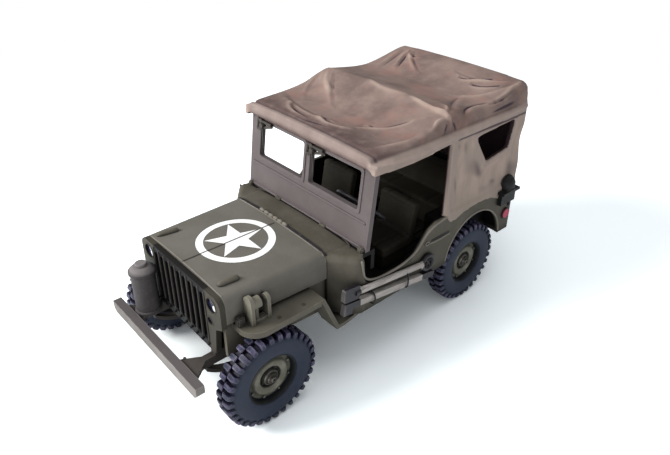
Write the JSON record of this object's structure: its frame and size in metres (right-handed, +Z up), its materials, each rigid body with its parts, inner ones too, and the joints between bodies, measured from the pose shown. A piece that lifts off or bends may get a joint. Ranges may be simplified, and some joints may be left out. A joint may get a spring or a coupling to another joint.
{
  "type": "scale model army off-road car",
  "caption": "Painted plastic wargaming model of an open-sided four-wheel-drive army car with a canvas top, slotted grille and spare wheel; its wheels roll.",
  "frame": {"origin": "on the ground, in the middle of the model's width and length", "axes": "-Y to the front of the car, +X to its left, +Z up"},
  "size_m": [0.0279, 0.0575, 0.0334],
  "materials": {
    "olive_paint": "matte acrylic paint on moulded plastic",
    "canvas_paint": "matte acrylic paint on moulded plastic",
    "tyre_paint": "matte acrylic paint on moulded plastic",
    "seat_paint": "matte acrylic paint on moulded plastic",
    "black_paint": "matte acrylic paint on moulded plastic",
    "steel_paint": "matte acrylic paint on moulded plastic",
    "wood_paint": "matte acrylic paint on moulded plastic",
    "lamp_gloss": "gloss varnish over paint",
    "red_gloss": "gloss varnish over paint"
  },
  "bodies": {
    "car": {"front_axle": "olive_paint", "rear_axle": "olive_paint", "front_springs": "olive_paint", "rear_springs": "olive_paint", "chassis_frame": "olive_paint", "front_bumper": "olive_paint", "drivetrain": "olive_paint", "exhaust": "olive_paint", "body_tub": "olive_paint", "cowl": "olive_paint", "grille": "olive_paint", "headlamps": "lamp_gloss", "marker_lamps": "lamp_gloss", "bonnet": "olive_paint", "left_fender": "olive_paint", "right_fender": "olive_paint", "condenser_can": "olive_paint", "driving_lamp": "olive_paint", "windscreen": "olive_paint", "wipers": "black_paint", "canvas_top": "canvas_paint", "driver_seat": "seat_paint", "passenger_seat": "seat_paint", "rear_seat": "seat_paint", "steering_wheel": "black_paint", "gear_levers": "black_paint", "shovel": "wood_paint", "axe": "wood_paint", "spare_tyre": "tyre_paint", "spare_disc": "olive_paint", "spare_carrier": "olive_paint", "fuel_can": "olive_paint", "fuel_can_tray": "olive_paint", "rear_bumperettes": "olive_paint", "tow_pintle": "steel_paint", "tail_lamps": "red_gloss", "reflectors": "red_gloss", "antenna_base": "black_paint"},
    "wheel_front_left": {"tyre_front_left": "tyre_paint", "disc_front_left": "olive_paint"},
    "wheel_front_right": {"tyre_front_right": "tyre_paint", "disc_front_right": "olive_paint"},
    "wheel_rear_left": {"tyre_rear_left": "tyre_paint", "disc_rear_left": "olive_paint"},
    "wheel_rear_right": {"tyre_rear_right": "tyre_paint", "disc_rear_right": "olive_paint"}
  },
  "joints": [
    {"name": "front_left_wheel_turn", "type": "hinge", "parent": "car", "child": "wheel_front_left", "pos_m": [0.0113, -0.02, 0.0064], "axis": [1, 0, 0], "continuous": true},
    {"name": "front_right_wheel_turn", "type": "hinge", "parent": "car", "child": "wheel_front_right", "pos_m": [-0.0113, -0.02, 0.0064], "axis": [1, 0, 0], "continuous": true},
    {"name": "rear_left_wheel_turn", "type": "hinge", "parent": "car", "child": "wheel_rear_left", "pos_m": [0.0113, 0.0163, 0.0064], "axis": [1, 0, 0], "continuous": true},
    {"name": "rear_right_wheel_turn", "type": "hinge", "parent": "car", "child": "wheel_rear_right", "pos_m": [-0.0113, 0.0163, 0.0064], "axis": [1, 0, 0], "continuous": true}
  ]
}
